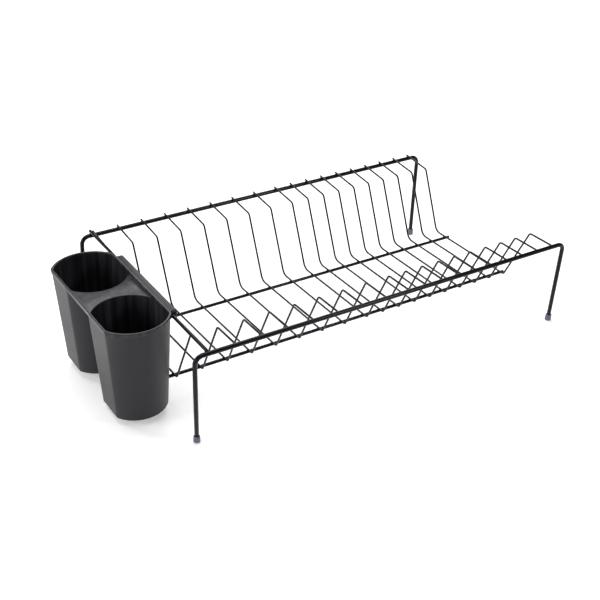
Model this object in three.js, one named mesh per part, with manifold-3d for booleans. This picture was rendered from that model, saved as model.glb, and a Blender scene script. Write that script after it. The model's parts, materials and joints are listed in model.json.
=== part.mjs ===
// Dish drying rack: a welded wire frame on two bent U rods, with a cutlery holder that hangs on a side rod.
// Millimetres, +Z up, +X along the rack from the cutlery end, +Y from the front bar to the back bar.
import * as THREE from "three";
import { mergeVertices } from "three/addons/utils/BufferGeometryUtils.js";
import Module from "manifold-3d";

// Overall sizes, to the outside of the rods.
const rackLength = 385;
const rackDepth = 230;
const frontHeight = 90;
const rearHeight = 93;

// Rod thicknesses.
const frameRod = 4;
const thinRod = 3;
const slatWire = 1.8;
const weldGap = 0.1; // left between welded rods, so that the solids only just miss each other

// The two U frames.
const cornerRadius = 7;
const frontLean = { x: 4, y: 9.5 }; // how far the feet stand from under the bar's ends
const rearLean = { x: -3.7, y: -2 };
const rearShift = 1.2; // of the back bar along the rack, past the front one

// Slat wires, along the rack.
const firstWireInset = 13.1; // first wire from the left legs
const widePitch = 24.2;
const wideGaps = 8;
const narrowGaps = 9; // they share what the wide ones leave
const lastWireInset = 11.4; // last wire from the right legs

// Slat wires, seen from the side.
const baseHeight = 30; // wire's centre above the floor
const nibLength = 2.2; // past the back bar's centre
const shelfLength = 32; // from the back bar to the upper bend
const shelfDrop = 3;
const backRun = 57.3; // from the back bar to where the slope would meet the base
const valleySetback = 61.5; // front bend at the base, from the front bar
const peakSetback = 32.5;
const peakDrop = 1; // of the front bend's top below the front bar
const upperBend = 4;
const lowerBend = 8;
const valleyBend = 3.5;
const peakBend = 4;
const wireEndDrop = 0.6; // of a wire's front weld below the front bar's centre

// Lower rails.
const railFrontSetback = 69; // front rail from the front bar
const railRearSetback = 70.4; // rear rail from the back bar
const railOverhangRight = 6.3; // past the last wire
const railOverhangLeft = 4;

// Side rod that carries the holder.
const sideRodInset = 11.4; // of its front end from the left legs; its back end lies beside the first wire
const sideRodTail = 2.5; // past the back bar's centre
const sideRodGap = 0.2; // between its front end and the first wire, which passes under it

// Foot caps.
const capHeight = 6.5;
const capWall = 0.9;
const capFloor = 1.6;
const capClearance = 0.15; // all round the leg
const capEdge = 0.6;

// Cutlery holder.
const holderLength = 145;
const cupGap = 11.4; // between the cups' mouths
const flatCut = 4.5; // how far each of a mouth's two flats cuts into its circle
const holderHeight = 90; // from the rim to the cups' feet
const holderWall = 1.4;
const cupFloor = 2;
const cupShrink = 0.82; // size of a cup's foot, as a share of its mouth
const footShift = 1.5; // of the cups' feet towards the rack
const hookClearance = { cup: 0.4, rack: 2 }; // at the side rod's two sides
const hookRest = 0.3; // between the side rod and the hook's top
const hookLegDepth = 11; // of the outer leg, from the hook's top
const innerWallDepth = 10; // of the straight wall beside the side rod, from the hook's top
const hookInset = { front: 2, back: 5 }; // of the hook's ends from the ends of that wall
const rimRise = 1.2; // of the rim above the hook's top
const deckDrop = 2; // of the deck between the cups, below the hook's top
const deckThickness = 1.4;
const lipRise = 0.8; // of the cups' inner lips above the deck
const holderOffset = 2.5; // of its middle, from midway between the bars towards the back

const steelMaterial = new THREE.MeshStandardMaterial({ color: 0x24252b, roughness: 0.42, metalness: 0.55 });
const capMaterial = new THREE.MeshStandardMaterial({ color: 0x454854, roughness: 0.6, metalness: 0 });
const plasticMaterial = new THREE.MeshStandardMaterial({ color: 0x3b3c3f, roughness: 0.62, metalness: 0 });

const wasm = await Module();
wasm.setup();

// Sizes that follow from the ones above.
const frameRadius = frameRod / 2;
const thinRadius = thinRod / 2;
const wireRadius = slatWire / 2;
const barLength = rackLength - frameRod;
const barSpacing = rackDepth - frameRod;
const frontBarHeight = frontHeight - frameRadius;
const rearBarHeight = rearHeight - frameRadius;
const wireRun = barLength - firstWireInset - lastWireInset;
const narrowPitch = (wireRun - wideGaps * widePitch) / narrowGaps;
const railHeight = baseHeight - wireRadius - weldGap - thinRadius;
const wireEndHeight = frontBarHeight - wireEndDrop;
const sideRodFront = new THREE.Vector3(
  sideRodInset,
  frameRadius + weldGap,
  wireEndHeight + wireRadius + sideRodGap + thinRadius,
);
const sideRodSeat = new THREE.Vector3(
  firstWireInset - wireRadius - weldGap - thinRadius,
  barSpacing,
  rearBarHeight + frameRadius + weldGap + thinRadius,
);

// A path through a list of stations. Its steps fall on the stations, so straight stretches stay straight.
class StationPath extends THREE.Curve {
  constructor(stations) {
    super();
    this.stations = stations;
  }
  getPoint(t, target = new THREE.Vector3()) {
    const place = t * (this.stations.length - 1);
    const index = Math.min(Math.floor(place + 1e-9), this.stations.length - 2);
    return target.lerpVectors(this.stations[index], this.stations[index + 1], place - index);
  }
  getPointAt(u, target) {
    return this.getPoint(u, target);
  }
  getTangentAt(u, target = new THREE.Vector3()) {
    const last = this.stations.length - 1;
    const index = Math.round(u * last);
    const before = this.stations[Math.max(index - 1, 0)];
    const after = this.stations[Math.min(index + 1, last)];
    const here = this.stations[index];
    const arriving = here.clone().sub(before).normalize();
    const leaving = after.clone().sub(here).normalize();
    return target.copy(arriving).add(leaving).normalize();
  }
}

// Stations of a rod that runs straight between corners and turns each one on a round bend.
function bentStations(corners, bends, bendSteps) {
  const stations = [corners[0]];
  for (let i = 1; i < corners.length - 1; i++) {
    const arriving = corners[i].clone().sub(corners[i - 1]).normalize();
    const leaving = corners[i + 1].clone().sub(corners[i]).normalize();
    const turn = arriving.angleTo(leaving);
    const axis = arriving.clone().cross(leaving).normalize();
    const setback = bends[i - 1] * Math.tan(turn / 2);
    const start = corners[i].clone().addScaledVector(arriving, -setback);
    const inward = axis.clone().cross(arriving);
    const centre = start.clone().addScaledVector(inward, bends[i - 1]);
    for (let step = 0; step <= bendSteps; step++) {
      const spoke = start.clone().sub(centre).applyAxisAngle(axis, (turn * step) / bendSteps);
      stations.push(spoke.add(centre));
    }
  }
  stations.push(corners[corners.length - 1]);
  return stations;
}

function roundRod(stations, radius, sides) {
  const section = new THREE.Shape().absarc(0, 0, radius, 0, 2 * Math.PI);
  return new THREE.ExtrudeGeometry(section, {
    steps: stations.length - 1,
    curveSegments: sides / 2, // a full circle takes two sides for each of these
    extrudePath: new StationPath(stations),
  });
}

function solidFrom(geometry) {
  const bare = geometry.clone();
  bare.deleteAttribute("normal");
  bare.deleteAttribute("uv");
  const merged = mergeVertices(bare, 1e-4);
  return new wasm.Manifold(
    new wasm.Mesh({
      numProp: 3,
      vertProperties: merged.attributes.position.array,
      triVerts: new Uint32Array(merged.index.array),
    }),
  );
}

function geometryFrom(solid) {
  const mesh = solid.getMesh();
  const geometry = new THREE.BufferGeometry();
  geometry.setAttribute("position", new THREE.BufferAttribute(mesh.vertProperties, 3));
  geometry.setIndex(new THREE.BufferAttribute(mesh.triVerts, 1));
  geometry.computeVertexNormals();
  return geometry;
}

function named(name, geometry, material) {
  const mesh = new THREE.Mesh(geometry, material);
  mesh.name = name;
  return mesh;
}

// One U frame: leg, bar and leg in one rod, standing on its foot caps.
function frameCorners(shift, setback, height, lean) {
  const right = shift + barLength;
  return [
    new THREE.Vector3(shift + lean.x, setback + lean.y, 0),
    new THREE.Vector3(shift, setback, height),
    new THREE.Vector3(right, setback, height),
    new THREE.Vector3(right + lean.x, setback + lean.y, 0),
  ];
}

function makeFrame(corners) {
  const [leftFoot, leftTop, rightTop, rightFoot] = corners;
  const legEnd = (foot, top) => foot.clone().lerp(top, (capFloor + weldGap) / top.z);
  const path = [legEnd(leftFoot, leftTop), leftTop, rightTop, legEnd(rightFoot, rightTop)];
  return roundRod(bentStations(path, [cornerRadius, cornerRadius], 6), frameRadius, 12);
}

// A cap follows its leg's slant, and its underside is cut level with the floor.
function makeFootCap(foot, top) {
  const boreRadius = frameRadius + capClearance;
  const capRadius = boreRadius + capWall;
  const sunk = capRadius; // below the floor before the cut
  const profile = [
    new THREE.Vector2(0, -sunk),
    new THREE.Vector2(capRadius, -sunk),
    new THREE.Vector2(capRadius, capHeight - capEdge),
    new THREE.Vector2(capRadius - capEdge, capHeight),
    new THREE.Vector2(boreRadius, capHeight),
    new THREE.Vector2(boreRadius, capFloor),
    new THREE.Vector2(0, capFloor),
  ];
  const cap = new THREE.LatheGeometry(profile, 16);
  const legDirection = top.clone().sub(foot).normalize();
  const slant = new THREE.Quaternion().setFromUnitVectors(new THREE.Vector3(0, 1, 0), legDirection);
  cap.applyQuaternion(slant).translate(foot.x, foot.y, foot.z);
  const below = new THREE.BoxGeometry(6 * capRadius, 6 * capRadius, 4 * sunk);
  below.translate(foot.x, foot.y, -2 * sunk);
  return geometryFrom(solidFrom(cap).subtract(solidFrom(below)));
}

function makeFrames() {
  const frames = new THREE.Group();
  const kinds = [
    ["front", frameCorners(0, 0, frontBarHeight, frontLean)],
    ["rear", frameCorners(rearShift, barSpacing, rearBarHeight, rearLean)],
  ];
  for (const [place, corners] of kinds) {
    const [leftFoot, leftTop, rightTop, rightFoot] = corners;
    frames.add(named(`${place}_frame`, makeFrame(corners), steelMaterial));
    frames.add(named(`foot_cap_${place}_left`, makeFootCap(leftFoot, leftTop), capMaterial));
    frames.add(named(`foot_cap_${place}_right`, makeFootCap(rightFoot, rightTop), capMaterial));
  }
  return frames;
}

// The slat wires' side view, from the nib behind the back bar to the weld on the front bar.
function slatCorners() {
  const seat = rearBarHeight + frameRadius + weldGap + wireRadius;
  const slope = shelfDrop / shelfLength;
  return [
    new THREE.Vector3(0, barSpacing + nibLength, seat + slope * nibLength),
    new THREE.Vector3(0, barSpacing - shelfLength, seat - shelfDrop),
    new THREE.Vector3(0, barSpacing - backRun, baseHeight),
    new THREE.Vector3(0, valleySetback, baseHeight),
    new THREE.Vector3(0, peakSetback, frontBarHeight - peakDrop),
    new THREE.Vector3(0, frameRadius + weldGap, wireEndHeight),
  ];
}

function wirePlace(index) {
  const wide = Math.min(index, wideGaps);
  return firstWireInset + wide * widePitch + (index - wide) * narrowPitch;
}

function makeSlatWires() {
  const wires = new THREE.Group();
  const stations = bentStations(slatCorners(), [upperBend, lowerBend, valleyBend, peakBend], 4);
  const shape = roundRod(stations, wireRadius, 8);
  for (let index = 0; index <= wideGaps + narrowGaps; index++) {
    const wire = named(`slat_wire_${String(index + 1).padStart(2, "0")}`, shape, steelMaterial);
    wire.position.x = wirePlace(index);
    wires.add(wire);
  }
  return wires;
}

function makeLowerRails() {
  const rails = new THREE.Group();
  const left = wirePlace(0) - railOverhangLeft;
  const right = wirePlace(wideGaps + narrowGaps) + railOverhangRight;
  const places = { front: railFrontSetback, rear: barSpacing - railRearSetback };
  for (const [place, setback] of Object.entries(places)) {
    const ends = [left, right].map((x) => new THREE.Vector3(x, setback, railHeight));
    rails.add(named(`${place}_lower_rail`, roundRod(ends, thinRadius, 10), steelMaterial));
  }
  return rails;
}

function makeSideRod() {
  const along = sideRodSeat.clone().sub(sideRodFront).normalize();
  const tail = sideRodSeat.clone().addScaledVector(along, sideRodTail);
  return named("side_rod", roundRod([sideRodFront, tail], thinRadius, 10), steelMaterial);
}

// A cup's plan: a circle cut by two flats that face left and right.
function cupPlan(length, width) {
  const radius = length / 2;
  const edge = Math.acos(width / length);
  const plan = new THREE.Shape();
  plan.absarc(0, 0, radius, edge, Math.PI - edge);
  plan.absarc(0, 0, radius, Math.PI + edge, 2 * Math.PI - edge);
  plan.closePath();
  return plan;
}

// The deck's plan: two cup plans, one behind the other, joined by straight sides.
function deckPlan(length, width, spacing) {
  const radius = length / 2;
  const edge = Math.acos(width / length);
  const plan = new THREE.Shape();
  plan.absarc(0, spacing / 2, radius, edge, Math.PI - edge);
  plan.absarc(0, -spacing / 2, radius, Math.PI + edge, 2 * Math.PI - edge);
  plan.closePath();
  return plan;
}

function slab(plan, thickness, top) {
  const options = { depth: thickness, bevelEnabled: false, curveSegments: 10 };
  return new THREE.ExtrudeGeometry(plan, options).translate(0, 0, top - thickness);
}

// A cup-shaped solid whose size shrinks evenly from its mouth, at the rim, to its foot.
function taperedCup(length, width, rim, foot, bottom, top) {
  const geometry = slab(cupPlan(length, width), top - bottom, top);
  const places = geometry.attributes.position;
  for (let i = 0; i < places.count; i++) {
    const down = (rim - places.getZ(i)) / (rim - foot);
    const size = 1 + (cupShrink - 1) * down;
    places.setXY(i, places.getX(i) * size + footShift * down, places.getY(i) * size);
  }
  return geometry;
}

function block(low, high) {
  const size = high.clone().sub(low);
  const middle = low.clone().add(high).multiplyScalar(0.5);
  return new THREE.BoxGeometry(size.x, size.y, size.z).translate(middle.x, middle.y, middle.z);
}

// The holder in its own frame: X across from the side rod, Y along it, Z up from the rod's centre line.
function makeHolderSolid() {
  const hookTop = thinRadius + hookRest + holderWall;
  const rim = hookTop + rimRise;
  const deckTop = hookTop - deckDrop;
  const deckBottom = deckTop - deckThickness;
  const foot = rim - holderHeight;
  const outerLength = (holderLength - cupGap) / 2;
  const openingLength = outerLength - 2 * holderWall;
  const openingWidth = openingLength - 2 * flatCut;
  const outerWidth = openingWidth + 2 * holderWall;
  const cupSpacing = holderLength - outerLength;
  const channelLeft = -thinRadius - hookClearance.cup;
  const channelRight = thinRadius + hookClearance.rack;
  const middleX = channelLeft - outerWidth / 2;
  const flatLength = 2 * Math.sqrt((outerLength / 2) ** 2 - (outerWidth / 2) ** 2) + cupSpacing;

  const outerPlan = deckPlan(outerLength, outerWidth, cupSpacing);
  const innerPlan = deckPlan(openingLength, openingWidth, cupSpacing);
  const tray = solidFrom(slab(outerPlan, rim - deckBottom, rim).translate(middleX, 0, 0));
  const trayHollow = solidFrom(slab(innerPlan, rim - deckTop + 1, rim + 1).translate(middleX, 0, 0));
  let holder = tray.subtract(trayHollow);
  const hollows = [];
  for (const side of [-1, 1]) {
    const place = [middleX, (side * cupSpacing) / 2, 0];
    const lip = deckTop + lipRise;
    const shell = taperedCup(outerLength, outerWidth, rim, foot, foot, lip).translate(...place);
    const hollow = taperedCup(openingLength, openingWidth, rim, foot, foot + cupFloor, rim + 1);
    holder = holder.add(solidFrom(shell));
    hollows.push(solidFrom(hollow.translate(...place)));
  }
  const strip = (left, right, low, high, inset) => {
    const lowCorner = new THREE.Vector3(left, inset.front - flatLength / 2, low);
    const highCorner = new THREE.Vector3(right, flatLength / 2 - inset.back, high);
    return solidFrom(block(lowCorner, highCorner));
  };
  const wallLeft = channelLeft - holderWall;
  const hookRight = channelRight + holderWall;
  const hookRoof = hookTop - holderWall;
  const wholeFlat = { front: 0, back: 0 };
  holder = holder.add(strip(wallLeft, channelLeft, hookTop - innerWallDepth, hookTop, wholeFlat));
  holder = holder.add(strip(wallLeft, hookRight, hookRoof, hookTop, hookInset));
  holder = holder.add(strip(channelRight, hookRight, hookTop - hookLegDepth, hookTop, hookInset));
  for (const hollow of hollows) holder = holder.subtract(hollow);
  return holder;
}

// The holder hangs along the side rod, so it takes the rod's slight slope and turn.
function makeHolder() {
  const along = sideRodSeat.clone().sub(sideRodFront);
  const middle = barSpacing / 2 + holderOffset;
  const share = (middle - sideRodFront.y) / along.y;
  const holder = named("cutlery_holder", geometryFrom(makeHolderSolid()), plasticMaterial);
  holder.position.copy(sideRodFront).addScaledVector(along, share);
  holder.rotation.set(Math.atan2(along.z, along.y), 0, Math.atan2(-along.x, along.y), "ZYX");
  return holder;
}

const rack = new THREE.Group();
rack.add(makeFrames(), makeSlatWires(), makeLowerRails(), makeSideRod(), makeHolder());

// The part's origin is under the middle of its outline, on the floor.
const outline = new THREE.Box3().setFromObject(rack, true);
const centre = outline.getCenter(new THREE.Vector3());
rack.position.set(-centre.x, -centre.y, -outline.min.z);

const part = new THREE.Group();
part.add(rack);
export default part;
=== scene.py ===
# Dish drying rack: a coated wire rack and the moulded cutlery holder that hangs on its side rod.
import json
import math

import bmesh
import bpy
from mathutils import Matrix, Vector


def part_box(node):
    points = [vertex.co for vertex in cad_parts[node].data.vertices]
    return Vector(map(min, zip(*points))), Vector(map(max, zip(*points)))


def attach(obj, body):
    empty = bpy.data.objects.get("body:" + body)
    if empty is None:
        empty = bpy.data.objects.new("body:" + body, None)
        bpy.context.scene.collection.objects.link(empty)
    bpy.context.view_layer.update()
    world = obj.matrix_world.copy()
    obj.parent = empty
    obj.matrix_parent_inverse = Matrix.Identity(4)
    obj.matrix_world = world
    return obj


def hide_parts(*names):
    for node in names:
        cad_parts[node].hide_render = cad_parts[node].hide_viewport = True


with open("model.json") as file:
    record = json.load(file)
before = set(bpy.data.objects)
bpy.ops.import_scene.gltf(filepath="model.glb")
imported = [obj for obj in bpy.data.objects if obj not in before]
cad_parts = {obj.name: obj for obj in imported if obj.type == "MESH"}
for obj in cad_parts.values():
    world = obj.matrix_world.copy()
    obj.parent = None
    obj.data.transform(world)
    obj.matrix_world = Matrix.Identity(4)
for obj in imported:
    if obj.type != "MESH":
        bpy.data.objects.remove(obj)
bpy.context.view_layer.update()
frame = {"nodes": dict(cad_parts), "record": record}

scene = bpy.context.scene
scene.view_settings.view_transform = "Standard"
print("frame loaded:", len(frame["nodes"]), "nodes")


camera = {
    "place": (-0.49616, -0.77980, 0.57062),
    "azimuth": -32.31,  # degrees round from straight in front
    "elevation": 30.2,
    "roll": 1.03,
    "lens": 68.73,
    "near": 0.05,
    "far": 20,
}


def makeCamera():
    turn = math.radians(camera["azimuth"])
    rise = math.radians(camera["elevation"])
    roll = math.radians(camera["roll"])
    back = Vector((math.sin(turn) * math.cos(rise), -math.cos(turn) * math.cos(rise), math.sin(rise)))
    level = Vector((0, 0, 1)).cross(back).normalized()
    upright = back.cross(level)
    right = level * math.cos(roll) + upright * math.sin(roll)
    up = upright * math.cos(roll) - level * math.sin(roll)
    placed = Matrix((right, up, back)).transposed().to_4x4()
    placed.translation = camera["place"]
    lens = bpy.data.cameras.new("camera")
    lens.lens = camera["lens"]
    lens.clip_start = camera["near"]
    lens.clip_end = camera["far"]
    made = bpy.data.objects.new("camera", lens)
    made.matrix_world = placed
    scene.collection.objects.link(made)
    scene.camera = made


makeCamera()
print("camera placed")


# Effects that several finishes share.
effects = {
    "fineDetail": 2, "waveDetail": 1, "patchDetail": 4, "speckDetail": 3,
    "noiseMiddle": 0.5, "patchGain": 4, "spreadGain": 2,
    "specksPerMetre": 700, "speckSharpness": 2, "dustDulls": 0.6,
}


def newGroup(name, inputs, outputs):
    group = bpy.data.node_groups.new(name, "ShaderNodeTree")
    for title, kind, value in inputs:
        socket = group.interface.new_socket(name=title, in_out="INPUT", socket_type=kind)
        socket.default_value = value
    for title, kind in outputs:
        group.interface.new_socket(name=title, in_out="OUTPUT", socket_type=kind)
    return group, group.nodes.new("NodeGroupInput"), group.nodes.new("NodeGroupOutput")


def mathNode(tree, operation, first, second):
    node = tree.nodes.new("ShaderNodeMath")
    node.operation = operation
    for slot, value in enumerate((first, second)):
        if isinstance(value, (int, float)):
            node.inputs[slot].default_value = value
        else:
            tree.links.new(value, node.inputs[slot])
    return node.outputs[0]


def noiseNode(tree, vector, scale, detail):
    node = tree.nodes.new("ShaderNodeTexNoise")
    node.inputs["Detail"].default_value = detail
    tree.links.new(vector, node.inputs["Vector"])
    if isinstance(scale, (int, float)):
        node.inputs["Scale"].default_value = scale
    else:
        tree.links.new(scale, node.inputs["Scale"])
    return node.outputs["Fac"]


def objectPlace(tree, stretch=(1, 1, 1)):
    place = tree.nodes.new("ShaderNodeTexCoord")
    mapping = tree.nodes.new("ShaderNodeMapping")
    mapping.inputs["Scale"].default_value = stretch
    tree.links.new(place.outputs["Object"], mapping.inputs["Vector"])
    return mapping.outputs["Vector"]


def makeGrain():
    # Fine bumps of one size over broad waves: orange peel in a coating, or the texture of a mould.
    inputs = [
        ("Bumps Per Metre", "NodeSocketFloat", 1500.0),
        ("Waves Per Metre", "NodeSocketFloat", 120.0),
        ("Wave Share", "NodeSocketFloat", 0.5),
    ]
    group, source, result = newGroup("grain", inputs, [("Height", "NodeSocketFloat")])
    place = objectPlace(group)
    fine = noiseNode(group, place, source.outputs["Bumps Per Metre"], effects["fineDetail"])
    broad = noiseNode(group, place, source.outputs["Waves Per Metre"], effects["waveDetail"])
    waves = mathNode(group, "MULTIPLY", broad, source.outputs["Wave Share"])
    group.links.new(mathNode(group, "ADD", fine, waves), result.inputs["Height"])
    return group


def makeTone():
    # Patches a little lighter or duller than the rest, and fine dust on what faces up.
    inputs = [
        ("Colour", "NodeSocketColor", (0.05, 0.05, 0.05, 1)),
        ("Dust Colour", "NodeSocketColor", (0.3, 0.3, 0.31, 1)),
        ("Dust", "NodeSocketFloat", 0.05),
        ("Patches Per Metre", "NodeSocketFloat", 25.0),
        ("Patch Strength", "NodeSocketFloat", 0.15),
        ("Roughness", "NodeSocketFloat", 0.5),
        ("Roughness Spread", "NodeSocketFloat", 0.1),
    ]
    outputs = [("Colour", "NodeSocketColor"), ("Roughness", "NodeSocketFloat")]
    group, source, result = newGroup("tone", inputs, outputs)
    place = objectPlace(group)
    patches = noiseNode(group, place, source.outputs["Patches Per Metre"], effects["patchDetail"])
    centred = mathNode(group, "SUBTRACT", patches, effects["noiseMiddle"])
    strength = mathNode(group, "MULTIPLY", centred, source.outputs["Patch Strength"])
    change = mathNode(group, "MULTIPLY", strength, effects["patchGain"])
    brightness = mathNode(group, "ADD", change, 1)
    shade = group.nodes.new("ShaderNodeVectorMath")
    shade.operation = "SCALE"
    group.links.new(source.outputs["Colour"], shade.inputs[0])
    group.links.new(brightness, shade.inputs["Scale"])
    facing = group.nodes.new("ShaderNodeNewGeometry")
    split = group.nodes.new("ShaderNodeSeparateXYZ")
    group.links.new(facing.outputs["Normal"], split.inputs[0])
    up = mathNode(group, "MAXIMUM", split.outputs["Z"], 0)
    speckled = noiseNode(group, place, effects["specksPerMetre"], effects["speckDetail"])
    specks = mathNode(group, "POWER", speckled, effects["speckSharpness"])
    lying = mathNode(group, "MULTIPLY", up, specks)
    dust = mathNode(group, "MULTIPLY", lying, source.outputs["Dust"])
    mix = group.nodes.new("ShaderNodeMix")
    mix.data_type = "RGBA"
    group.links.new(dust, mix.inputs["Factor"])
    group.links.new(shade.outputs[0], mix.inputs["A"])
    group.links.new(source.outputs["Dust Colour"], mix.inputs["B"])
    group.links.new(mix.outputs["Result"], result.inputs["Colour"])
    spread = mathNode(group, "MULTIPLY", centred, source.outputs["Roughness Spread"])
    wider = mathNode(group, "MULTIPLY", spread, effects["spreadGain"])
    rough = mathNode(group, "ADD", source.outputs["Roughness"], wider)
    dulled = mathNode(group, "MULTIPLY", dust, effects["dustDulls"])
    duller = mathNode(group, "ADD", rough, dulled)
    group.links.new(duller, result.inputs["Roughness"])
    return group


grain = makeGrain()
tone = makeTone()


def makeFinish(name, values):
    made = bpy.data.materials.new(name)
    made.use_nodes = True
    tree = made.node_tree
    shader = tree.nodes["Principled BSDF"]
    shader.inputs["Specular IOR Level"].default_value = values.get("specular", 0.5)
    toned = tree.nodes.new("ShaderNodeGroup")
    toned.node_tree = tone
    toned.inputs["Colour"].default_value = (*values["colour"], 1)
    toned.inputs["Dust Colour"].default_value = (*values["dustColour"], 1)
    toned.inputs["Dust"].default_value = values["dust"]
    toned.inputs["Patches Per Metre"].default_value = values["patches"]
    toned.inputs["Patch Strength"].default_value = values["patchStrength"]
    toned.inputs["Roughness"].default_value = values["roughness"]
    toned.inputs["Roughness Spread"].default_value = values["spread"]
    tree.links.new(toned.outputs["Colour"], shader.inputs["Base Color"])
    tree.links.new(toned.outputs["Roughness"], shader.inputs["Roughness"])
    grained = tree.nodes.new("ShaderNodeGroup")
    grained.node_tree = grain
    grained.inputs["Bumps Per Metre"].default_value = values["bumps"]
    grained.inputs["Waves Per Metre"].default_value = values["waves"]
    grained.inputs["Wave Share"].default_value = values["waveShare"]
    bump = tree.nodes.new("ShaderNodeBump")
    bump.inputs["Strength"].default_value = values["bumpStrength"]
    bump.inputs["Distance"].default_value = values["bumpDepth"]
    tree.links.new(grained.outputs["Height"], bump.inputs["Height"])
    tree.links.new(bump.outputs["Normal"], shader.inputs["Normal"])
    return made


# Patches, bumps and waves are counts per metre, bump depths are in metres.
coating = {
    "colour": (0.004, 0.004, 0.0075), "dustColour": (0.1, 0.1, 0.13), "dust": 0.07,
    "patches": 60, "patchStrength": 0.12, "roughness": 0.15, "spread": 0.06,
    "bumps": 900, "waves": 160, "waveShare": 0.7, "bumpStrength": 0.3, "bumpDepth": 0.00003,
    "specular": 0.16,
}
weldCoating = dict(coating, roughness=0.35, bumps=1600, bumpStrength=0.6)
capRubber = {
    "colour": (0.11, 0.12, 0.165), "dustColour": (0.3, 0.31, 0.36), "dust": 0.3,
    "patches": 180, "patchStrength": 0.2, "roughness": 0.5, "spread": 0.14,
    "bumps": 2600, "waves": 500, "waveShare": 0.5, "bumpStrength": 0.4, "bumpDepth": 0.00005,
}
outerPlastic = {
    "colour": (0.0155, 0.0157, 0.019), "dustColour": (0.18, 0.18, 0.2), "dust": 0.08,
    "patches": 18, "patchStrength": 0.08, "roughness": 0.46, "spread": 0.08,
    "bumps": 3200, "waves": 60, "waveShare": 1.6, "bumpStrength": 0.25, "bumpDepth": 0.00005,
    "specular": 0.3,
}
# The cups' inner faces get a darker copy of the plastic: painted shade of the hollows.
innerPaintedShadePlastic = dict(outerPlastic, colour=(0.012, 0.011, 0.014), roughness=0.34, dust=0.05)
# The darkest colour here is that painted shade; faint lighter upright streaks run over it.
shadeAndStreaks = {
    "stretch": (230, 230, 4), "scale": 1, "detail": 3,
    "paintedShade": (0.012, 0.011, 0.014, 1), "darkTo": 0.42,
    "light": (0.04, 0.038, 0.044, 1), "lightFrom": 0.7,
}


def makeInnerPaintedShadeFinish():
    # Inside the cups the plastic is painted darker, as painted shade of the hollow, with faint lighter
    # upright streaks over it.
    made = makeFinish("innerPaintedShadePlastic", innerPaintedShadePlastic)
    tree = made.node_tree
    place = objectPlace(tree, shadeAndStreaks["stretch"])
    pattern = noiseNode(tree, place, shadeAndStreaks["scale"], shadeAndStreaks["detail"])
    ramp = tree.nodes.new("ShaderNodeValToRGB")
    ramp.color_ramp.elements[0].position = shadeAndStreaks["darkTo"]
    ramp.color_ramp.elements[0].color = shadeAndStreaks["paintedShade"]
    ramp.color_ramp.elements[1].position = shadeAndStreaks["lightFrom"]
    ramp.color_ramp.elements[1].color = shadeAndStreaks["light"]
    tree.links.new(pattern, ramp.inputs["Fac"])
    toned = next(node for node in tree.nodes if node.type == "GROUP" and node.node_tree == tone)
    tree.links.new(ramp.outputs["Color"], toned.inputs["Colour"])
    return made


steelFinish = makeFinish("coatedSteel", coating)
weldFinish = makeFinish("coatedWeld", weldCoating)
capFinish = makeFinish("capRubber", capRubber)
plasticFinish = makeFinish("outerPlastic", outerPlastic)
innerPaintedShadeFinish = makeInnerPaintedShadeFinish()
print("finishes made")


rodEndSteps = 2
mouldSteps = 3
# How near is the same place, in metres.
within = {"doubles": 1e-7, "poles": 1e-6, "corner": 1e-5, "level": 1e-6, "middle": 1e-7, "mirror": 1e-6}


def vertsOf(edges):
    return list(dict.fromkeys(vert for edge in edges for vert in edge.verts))


def ringAcross(bm, place, direction, radius, sides):
    facing = Vector((0, 0, 1)).rotation_difference(direction).to_matrix().to_4x4()
    placed = Matrix.Translation(place) @ facing
    circle = bmesh.ops.create_circle(bm, segments=sides, radius=radius, matrix=placed)
    return list(dict.fromkeys(edge for vert in circle["verts"] for edge in vert.link_edges))


def growRing(bm, ring, change):
    grown = bmesh.ops.extrude_edge_only(bm, edges=ring)["geom"]
    fresh = [part for part in grown if isinstance(part, bmesh.types.BMEdge)]
    bmesh.ops.transform(bm, matrix=change, verts=vertsOf(fresh))
    return fresh


def bentRod(bm, corners, bends, shape):
    # Straight between its corners, and round each one on a bend of the radius given.
    here = corners[0]
    direction = (corners[1] - corners[0]).normalized()
    ring = ringAcross(bm, here, direction, shape["thickness"] / 2, shape["sides"])
    ends = list(ring)
    for index, bend in enumerate(bends, start=1):
        leaving = (corners[index + 1] - corners[index]).normalized()
        turn = direction.angle(leaving)
        axis = direction.cross(leaving).normalized()
        setback = bend * math.tan(turn / 2)
        start = corners[index] - direction * setback
        ring = growRing(bm, ring, Matrix.Translation(start - here))
        centre = start + axis.cross(direction) * bend
        turned = bmesh.ops.spin(
            bm, geom=ring + vertsOf(ring), cent=centre, axis=axis,
            angle=turn, steps=shape["bendSteps"], use_duplicate=False,
        )
        ring = [part for part in turned["geom_last"] if isinstance(part, bmesh.types.BMEdge)]
        here = corners[index] + leaving * setback
        direction = leaving
    ring = growRing(bm, ring, Matrix.Translation(corners[-1] - here))
    bmesh.ops.contextual_create(bm, geom=ends)
    bmesh.ops.contextual_create(bm, geom=ring)
    bmesh.ops.bevel(
        bm, geom=ends + ring, offset=shape["endRound"], segments=rodEndSteps,
        profile=0.5, affect="EDGES", material=-1,
    )


def finishPiece(name, bm, finishes, body, nodes, sharpAngle=40):
    bmesh.ops.remove_doubles(bm, verts=bm.verts, dist=within["doubles"])
    bmesh.ops.recalc_face_normals(bm, faces=bm.faces)
    mesh = bpy.data.meshes.new(name)
    bm.to_mesh(mesh)
    bm.free()
    for finish in finishes:
        mesh.materials.append(finish)
    mesh.shade_smooth()
    mesh.set_sharp_from_angle(angle=math.radians(sharpAngle))
    piece = bpy.data.objects.new(name, mesh)
    scene.collection.objects.link(piece)
    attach(piece, body)
    if nodes:
        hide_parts(*nodes)


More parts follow.
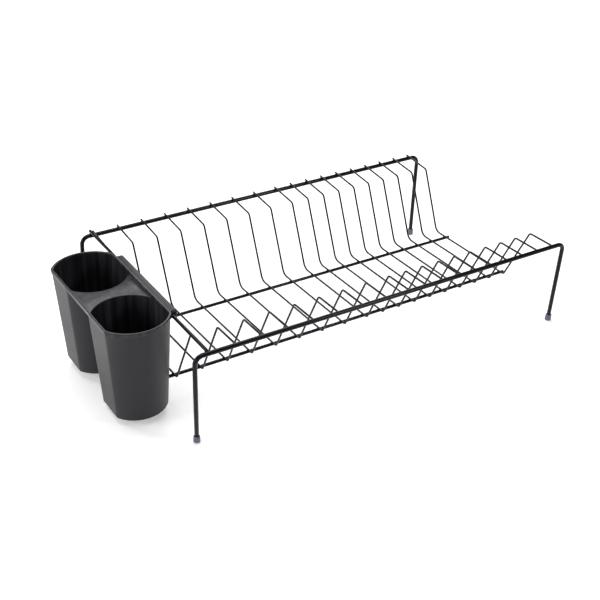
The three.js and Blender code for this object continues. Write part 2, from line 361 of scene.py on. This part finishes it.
# Each U frame is one rod: a bar and its two legs.
frameRod = {
    "thickness": 0.004, "sides": 24, "bendSteps": 10, "endRound": 0.0004,
    "bend": 0.007, "legStart": 0.0017,
    "lean": {"front": (0.004, 0.0095), "rear": (-0.0037, -0.002)},  # feet from under the bar's ends
}
feet = {mount["name"]: Vector(mount["pos_m"]) for mount in frame["record"]["mounts"]}


def frameLine(place):
    # Foot, bar end, bar end, foot.
    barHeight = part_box(place + "_frame")[1].z - frameRod["thickness"] / 2
    leanX, leanY = frameRod["lean"][place]
    left = feet["foot_" + place + "_left"]
    right = feet["foot_" + place + "_right"]
    overLeft = Vector((left.x - leanX, left.y - leanY, barHeight))
    overRight = Vector((right.x - leanX, right.y - leanY, barHeight))
    return left, overLeft, overRight, right


def makeFrameRod(place):
    left, overLeft, overRight, right = frameLine(place)
    share = frameRod["legStart"] / overLeft.z
    corners = [left.lerp(overLeft, share), overLeft, overRight, right.lerp(overRight, share)]
    bm = bmesh.new()
    bentRod(bm, corners, [frameRod["bend"]] * 2, frameRod)
    node = place + "_frame"
    finishPiece(node + "_rod", bm, [steelFinish], "rack", [node])


for place in ("front", "rear"):
    makeFrameRod(place)
print("frames made")


# The caps are spun upright, then slanted along their legs.
footCap = {
    "height": 0.0065, "radius": 0.00305, "topRadius": 0.00278, "floor": 0.0016, "bore": 0.00208,
    "bottomRound": 0.0009, "topRound": 0.0004, "collar": 0.0012, "collarStep": 0.00014,
    "collarFlare": 0.0001, "around": 32, "sharpAngle": 50,
}


def capProfile():
    radius, top = footCap["radius"], footCap["topRadius"]
    bottom, rim = footCap["bottomRound"], footCap["topRound"]
    height, collar, step = footCap["height"], footCap["collar"], footCap["collarStep"]
    outline = [(0, 0)]
    for turn in (0, 30, 60, 90):
        angle = math.radians(turn)
        out = radius - bottom + bottom * math.sin(angle)
        outline.append((out, bottom - bottom * math.cos(angle)))
    outline += [
        (top + footCap["collarFlare"], height - collar - step),
        (top - step, height - collar), (top, height - collar + step),
    ]
    for turn in (0, 45, 90):
        angle = math.radians(turn)
        outline.append((top - rim + rim * math.cos(angle), height - rim + rim * math.sin(angle)))
    bore, floor = footCap["bore"], footCap["floor"]
    outline += [(bore, height), (bore, floor), (0, floor)]
    return outline


def makeFootCap(place, side):
    line = frameLine(place)
    foot, over = (line[0], line[1]) if side == "left" else (line[3], line[2])
    bm = bmesh.new()
    verts = [bm.verts.new((radius, 0, height)) for radius, height in capProfile()]
    edges = [bm.edges.new(pair) for pair in zip(verts, verts[1:])]
    bmesh.ops.spin(
        bm, geom=verts + edges, cent=(0, 0, 0), axis=(0, 0, 1), angle=2 * math.pi,
        steps=footCap["around"], use_merge=True, use_duplicate=False,
    )
    bmesh.ops.remove_doubles(bm, verts=bm.verts, dist=within["poles"])
    slant = Matrix.Translation(foot)
    slant[0][2] = (over.x - foot.x) / over.z
    slant[1][2] = (over.y - foot.y) / over.z
    bmesh.ops.transform(bm, matrix=slant, verts=bm.verts)
    node = "foot_cap_" + place + "_" + side
    finishPiece(node + "_moulding", bm, [capFinish], "rack", [node], footCap["sharpAngle"])


for place in ("front", "rear"):
    for side in ("left", "right"):
        makeFootCap(place, side)
print("foot caps made")


# From the rear bar each wire runs level, down to the rails, along, and up over a peak to the front bar.
slatWire = {
    "thickness": 0.0018, "sides": 14, "bendSteps": 7, "endRound": 0.0003,
    "base": 0.03, "nib": 0.0022, "shelf": 0.032, "shelfDrop": 0.003, "backRun": 0.0573,
    "valleySetback": 0.0615, "peakSetback": 0.0325, "peakDrop": 0.001, "endDrop": 0.0006,
    "bends": (0.004, 0.008, 0.0035, 0.004), "count": 18,
    "barReach": 0.9,  # the front end stops this share of the radius behind the bar's middle
}
frontBar = frameLine("front")[1]
rearBar = frameLine("rear")[1]
barRadius = frameRod["thickness"] / 2
wireRadius = slatWire["thickness"] / 2


def wireNode(index):
    return "slat_wire_" + str(index + 1).zfill(2)


def wireX(index):
    low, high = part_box(wireNode(index))
    return (low.x + high.x) / 2


def slatCorners(x):
    slope = slatWire["shelfDrop"] / slatWire["shelf"]
    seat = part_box(wireNode(1))[1].z - wireRadius - slope * slatWire["nib"]
    return [
        Vector((x, rearBar.y + slatWire["nib"], seat + slope * slatWire["nib"])),
        Vector((x, rearBar.y - slatWire["shelf"], seat - slatWire["shelfDrop"])),
        Vector((x, rearBar.y - slatWire["backRun"], slatWire["base"])),
        Vector((x, frontBar.y + slatWire["valleySetback"], slatWire["base"])),
        Vector((x, frontBar.y + slatWire["peakSetback"], frontBar.z - slatWire["peakDrop"])),
        Vector((x, frontBar.y + barRadius * slatWire["barReach"], frontBar.z - slatWire["endDrop"])),
    ]


def makeSlatWire(index):
    bm = bmesh.new()
    bentRod(bm, slatCorners(wireX(index)), slatWire["bends"], slatWire)
    finishPiece(wireNode(index) + "_rod", bm, [steelFinish], "rack", [wireNode(index)])


for index in range(slatWire["count"]):
    makeSlatWire(index)
print("slat wires made")


straightRod = {"thickness": 0.003, "sides": 20, "bendSteps": 1, "endRound": 0.0004}
railRadius = straightRod["thickness"] / 2


def makeRail(node):
    low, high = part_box(node)
    middle = (low + high) / 2
    bm = bmesh.new()
    ends = [Vector((low.x, middle.y, middle.z)), Vector((high.x, middle.y, middle.z))]
    bentRod(bm, ends, [], straightRod)
    finishPiece(node + "_rod", bm, [steelFinish], "rack", [node])
    return middle


def sideRodEnds():
    # It rises and turns a little towards the back.
    low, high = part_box("side_rod")
    front = Vector((high.x - railRadius, low.y, low.z + railRadius))
    return front, Vector((low.x + railRadius, high.y, high.z - railRadius))


def makeSideRod():
    bm = bmesh.new()
    bentRod(bm, list(sideRodEnds()), [], straightRod)
    finishPiece("side_rod_rod", bm, [steelFinish], "rack", ["side_rod"])


rails = [makeRail("front_lower_rail"), makeRail("rear_lower_rail")]
makeSideRod()
print("rails and side rod made")


welds = {
    "around": 10, "rows": 6,
    "bar": (0.0013, 0.0014, 0.00062),  # half sizes of a bead between a wire and a bar
    "rail": (0.00115, 0.0012, 0.0005),
    "end": (0.00118, 0.0009, 0.00112),  # where a wire's end meets the front bar
    "rod": (0.0019, 0.0017, 0.0009),
    "rodEnd": (0.0018, 0.0011, 0.0015),
    "rodEndShift": (0, -0.0002, -0.0007),
    "sharpAngle": 180,
}


def addBead(bm, place, kind):
    bead = Matrix.Translation(place) @ Matrix.Diagonal((*welds[kind], 1))
    bmesh.ops.create_uvsphere(
        bm, u_segments=welds["around"], v_segments=welds["rows"], radius=1, matrix=bead,
    )


def finishBeads(name, bm):
    finishPiece(name, bm, [weldFinish], "rack", [], welds["sharpAngle"])


def makeWelds():
    count = slatWire["count"]
    rear = bmesh.new()
    front = bmesh.new()
    for index in range(count):
        addBead(rear, Vector((wireX(index), rearBar.y, rearBar.z + barRadius)), "bar")
        endHeight = frontBar.z - slatWire["endDrop"]
        addBead(front, Vector((wireX(index), frontBar.y + barRadius, endHeight)), "end")
    rodFront, rodRear = sideRodEnds()
    addBead(rear, Vector((rodRear.x, rearBar.y, rearBar.z + barRadius)), "rod")
    addBead(front, rodFront + Vector(welds["rodEndShift"]), "rodEnd")
    finishBeads("weld_beads_rear_bar", rear)
    finishBeads("weld_beads_front_bar", front)
    for name, rail in zip(("front", "rear"), rails):
        bm = bmesh.new()
        for index in range(count):
            addBead(bm, Vector((wireX(index), rail.y, rail.z + railRadius)), "rail")
        finishBeads("weld_beads_" + name + "_rail", bm)


makeWelds()
print("weld beads made")


# In the holder's own frame: X across from the side rod, Y along it, Z up from the rod's centre line.
holder = {
    "length": 0.145, "cupGap": 0.0114, "flatCut": 0.0045, "wall": 0.0014,
    "channelLeft": -0.0019, "channelRight": 0.0035,  # sides of the channel over the side rod
    "rim": 0.0044, "height": 0.09, "shrink": 0.82, "footShift": 0.0015, "cupFloor": 0.002,
    "deck": 0.0012, "deckThickness": 0.0014, "mouthRound": 0.0005,
    "footRound": 0.0016, "floorRound": 0.003, "creaseRound": 0.0011,
    "lipOut": 0.0005, "lipDeep": 0.0037, "lipRound": 0.00055, "lipEdge": 0.0002,
    "flatEdge": 30,  # degrees from a flat's middle to its edge, round the cup
    "rowsUp": (0.25, 0.5, 0.75),  # shares of the wall's height
    "around": 72, "sharpAngle": 35,
}
cupRadius = (holder["length"] - holder["cupGap"]) / 4
cupFlat = cupRadius - holder["flatCut"]
cupMiddleY = (holder["length"] / 2) - cupRadius
holderMiddleX = holder["channelLeft"] - cupFlat


def holderPlace():
    # The holder hangs along the side rod, so it takes the rod's slight slope and turn.
    front, rear = sideRodEnds()
    low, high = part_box("cutlery_holder")
    middleY = (low.y + high.y) / 2
    along = rear - front
    middle = front.lerp(rear, (middleY - front.y) / along.y)
    slope = Matrix.Rotation(math.atan2(along.z, along.y), 4, "X")
    turn = Matrix.Rotation(math.atan2(-along.x, along.y), 4, "Z")
    return Matrix.Translation(middle) @ turn @ slope


def taper(height):
    down = (holder["rim"] - height) / holder["height"]
    return 1 + (holder["shrink"] - 1) * down, holderMiddleX + holder["footShift"] * down


def cupRing(height, inset):
    size, x = taper(height)
    middle = Vector((x, cupMiddleY, height))
    return middle, (cupFlat - inset) * size, (cupRadius - inset) * size


def outlineRing(height, inset):
    size, x = taper(height)
    middle = Vector((x, 0, height))
    return middle, (cupFlat - inset) * size, cupMiddleY + (cupRadius - inset) * size


def between(old, new):
    scale = Matrix.Diagonal((new[1] / old[1], new[2] / old[2], 1, 1))
    return Matrix.Translation(new[0]) @ scale @ Matrix.Translation(-old[0])


def startCup(bm, first):
    # A disc cut by two flats, its four corners rounded.
    older = set(bm.edges)
    disc = bmesh.ops.create_circle(bm, cap_ends=True, segments=holder["around"], radius=cupRadius)
    for vert in disc["verts"]:
        vert.co.x = max(-cupFlat, min(cupFlat, vert.co.x))
    cornerY = cupRadius * math.sin(math.radians(holder["flatEdge"]))
    corners = [vert for vert in disc["verts"] if abs(abs(vert.co.y) - cornerY) < within["corner"]]
    bmesh.ops.bevel(
        bm, geom=corners, offset=holder["creaseRound"], segments=mouldSteps,
        profile=0.5, affect="VERTICES", material=-1,
    )
    ring = [edge for edge in bm.edges if edge not in older]
    whole = (Vector((0, 0, 0)), cupFlat, cupRadius)
    bmesh.ops.transform(bm, matrix=between(whole, first), verts=vertsOf(ring))
    return ring


def growCup(bm, profile):
    rings = [cupRing(height, inset) for height, inset in profile]
    edges = startCup(bm, rings[0])
    for old, new in zip(rings, rings[1:]):
        edges = growRing(bm, edges, between(old, new))
    return edges


def roundedFoot(bottom, inset, radius, steps=5):
    corner = []
    for step in range(steps + 1):
        angle = math.pi / 2 * step / steps
        height = bottom + radius * (1 - math.cos(angle))
        corner.append((height, inset + radius * (1 - math.sin(angle))))
    return corner


def arcFacingDeck(edges, height, inset):
    middle, halfX, halfY = cupRing(height, inset)
    limit = middle.y - halfY * math.sin(math.radians(holder["flatEdge"])) + within["corner"]
    return [edge for edge in edges if all(vert.co.y < limit for vert in edge.verts)]


def flattenToMiddle(bm, arc):
    grown = bmesh.ops.extrude_edge_only(bm, edges=arc)["geom"]
    verts = [part for part in grown if isinstance(part, bmesh.types.BMVert)]
    bmesh.ops.scale(bm, vec=(1, 0, 1), verts=verts)


def openEdges(bm, height):
    found = []
    for edge in bm.edges:
        level = all(abs(vert.co.z - height) < within["level"] for vert in edge.verts)
        onMiddle = all(abs(vert.co.y) < within["middle"] for vert in edge.verts)
        if edge.is_boundary and level and not onMiddle:
            found.append(edge)
    return found


def rimProfile():
    rim, wall, out, radius = holder["rim"], holder["wall"], holder["lipOut"], holder["lipRound"]
    steps = [(rim - radius, wall)]
    for turn in (30, 60, 90):
        angle = math.radians(turn)
        height = rim - radius + radius * math.sin(angle)
        steps.append((height, wall - radius * (1 - math.cos(angle))))
    steps.append((rim, radius - out))
    for turn in (60, 30, 0):
        angle = math.radians(turn)
        height = rim - radius + radius * math.sin(angle)
        steps.append((height, radius - out - radius * math.cos(angle)))
    low = rim - holder["lipDeep"]
    edge = holder["lipEdge"]
    steps += [(low + edge, -out), (low, edge - out), (low, 0)]
    return steps


def makeHolderBody():
    # One cup and half of the deck, then their mirror image.
    bm = bmesh.new()
    foot = holder["rim"] - holder["height"]
    under = holder["deck"] - holder["deckThickness"]
    deck = holder["deck"]
    wall = holder["wall"]
    inside = roundedFoot(foot + holder["cupFloor"], wall, holder["floorRound"])
    inside += [(foot + share * (deck - foot), wall) for share in holder["rowsUp"]] + [(deck, wall)]
    mouth = growCup(bm, inside)
    # The inside of the cup takes the darker inner finish, painted shade of its hollow.
    for face in bm.faces:
        face.material_index = 1
    mouthArc = arcFacingDeck(mouth, deck, wall)
    flattenToMiddle(bm, mouthArc)
    outside = roundedFoot(foot, 0, holder["footRound"])
    outside += [(foot + share * (under - foot), 0) for share in holder["rowsUp"]] + [(under, 0)]
    skin = growCup(bm, outside)
    flattenToMiddle(bm, arcFacingDeck(skin, under, 0))
    edges = openEdges(bm, deck)
    rings = [outlineRing(deck, wall)] + [outlineRing(height, inset) for height, inset in rimProfile()]
    for old, new in zip(rings, rings[1:]):
        edges = growRing(bm, edges, between(old, new))
    bmesh.ops.bridge_loops(bm, edges=edges + openEdges(bm, under))
    rounded = bmesh.ops.bevel(
        bm, geom=mouthArc, offset=holder["mouthRound"], segments=mouldSteps,
        profile=0.5, affect="EDGES", material=-1,
    )
    for face in rounded["faces"]:
        face.material_index = 0
    bmesh.ops.mirror(
        bm, geom=bm.verts[:] + bm.edges[:] + bm.faces[:], matrix=Matrix.Identity(4),
        merge_dist=within["mirror"], axis="Y",
    )
    bmesh.ops.transform(bm, matrix=holderPlace(), verts=bm.verts)
    finishPiece(
        "holder_cups", bm, [plasticFinish, innerPaintedShadeFinish], "holder",
        ["cutlery_holder"], holder["sharpAngle"],
    )


hook = {
    "front": -0.0539, "rear": 0.0509, "top": 0.0042, "roof": 0.0018, "legDeep": 0.0078,
    "wallDeep": 0.0068, "slant": 0.0012, "edge": 0.0005,
    "intoCups": 0.0003, "roundFrom": 30,  # edges sharper than this many degrees are rounded
}


def makeHook():
    # An upside-down channel: wall, roof and outer leg.
    left, right = holder["channelLeft"], holder["channelRight"]
    outer = right + holder["wall"]
    inner = left - holder["wall"] + hook["intoCups"]
    slant = hook["slant"]
    outline = [
        (inner, -hook["wallDeep"]), (left, -hook["wallDeep"]), (left, hook["roof"]),
        (right, hook["roof"]), (right, -hook["legDeep"]), (outer, -hook["legDeep"]),
        (outer, hook["top"] - slant), (outer - slant, hook["top"]), (inner, hook["top"]),
    ]
    bm = bmesh.new()
    verts = [bm.verts.new((x, hook["front"], z)) for x, z in outline]
    face = bm.faces.new(verts)
    grown = bmesh.ops.extrude_face_region(bm, geom=[face])["geom"]
    moved = [part for part in grown if isinstance(part, bmesh.types.BMVert)]
    bmesh.ops.translate(bm, verts=moved, vec=(0, hook["rear"] - hook["front"], 0))
    bmesh.ops.recalc_face_normals(bm, faces=bm.faces)
    sharp = [edge for edge in bm.edges if edge.calc_face_angle(0) > math.radians(hook["roundFrom"])]
    bmesh.ops.bevel(
        bm, geom=sharp, offset=hook["edge"], segments=mouldSteps,
        profile=0.5, affect="EDGES", material=-1, clamp_overlap=True,
    )
    bmesh.ops.transform(bm, matrix=holderPlace(), verts=bm.verts)
    finishPiece("holder_hook", bm, [plasticFinish], "holder", [], holder["sharpAngle"])


makeHolderBody()
makeHook()
print("cutlery holder made")


studio = {
    "floorSize": 6, "floorColour": (0.86, 0.86, 0.86, 1), "floorGlow": 0.35,
    "floorCells": 8, "floorRoughness": 0.9, "floorSpecular": 0.1, "glowColour": (1, 1, 1, 1),
    "worldColour": (1, 1, 1, 1), "worldStrength": 0.14,
    "lights": {
        # name: place, aim, size, power
        "overhead": ((-0.1, 0.3, 1.5), (0, 0, 0), 1.3, 20),
        "left": ((-1.6, 0.25, 0.62), (-0.1, 0, 0.05), 0.7, 12),
        "rear": ((0.7, 1.15, 0.95), (-0.1, 0, 0.08), 0.7, 8),
        "leftRear": ((-0.9, 1.05, 0.75), (-0.1, 0, 0.08), 0.3, 3.5),
        "frontRight": ((0.75, -1.15, 0.85), (0, 0, 0.08), 0.3, 5),
    },
}


def makeFloor():
    bm = bmesh.new()
    cells = studio["floorCells"]
    bmesh.ops.create_grid(bm, x_segments=cells, y_segments=cells, size=studio["floorSize"] / 2)
    mesh = bpy.data.meshes.new("floor")
    bm.to_mesh(mesh)
    bm.free()
    finish = bpy.data.materials.new("floorPaint")
    finish.use_nodes = True
    shader = finish.node_tree.nodes["Principled BSDF"]
    shader.inputs["Base Color"].default_value = studio["floorColour"]
    shader.inputs["Roughness"].default_value = studio["floorRoughness"]
    shader.inputs["Specular IOR Level"].default_value = studio["floorSpecular"]
    shader.inputs["Emission Color"].default_value = studio["glowColour"]
    shader.inputs["Emission Strength"].default_value = studio["floorGlow"]
    mesh.materials.append(finish)
    floor = bpy.data.objects.new("floor", mesh)
    scene.collection.objects.link(floor)


def makeLights():
    for name, (place, aim, size, power) in studio["lights"].items():
        lamp = bpy.data.lights.new(name, "AREA")
        lamp.shape = "SQUARE"
        lamp.size = size
        lamp.energy = power
        made = bpy.data.objects.new(name, lamp)
        made.location = place
        made.rotation_euler = (Vector(aim) - Vector(place)).to_track_quat("-Z", "Y").to_euler()
        scene.collection.objects.link(made)
    world = bpy.data.worlds.new("studio")
    world.use_nodes = True
    background = world.node_tree.nodes["Background"]
    background.inputs["Color"].default_value = studio["worldColour"]
    background.inputs["Strength"].default_value = studio["worldStrength"]
    scene.world = world


makeFloor()
makeLights()
print("floor and lights made")
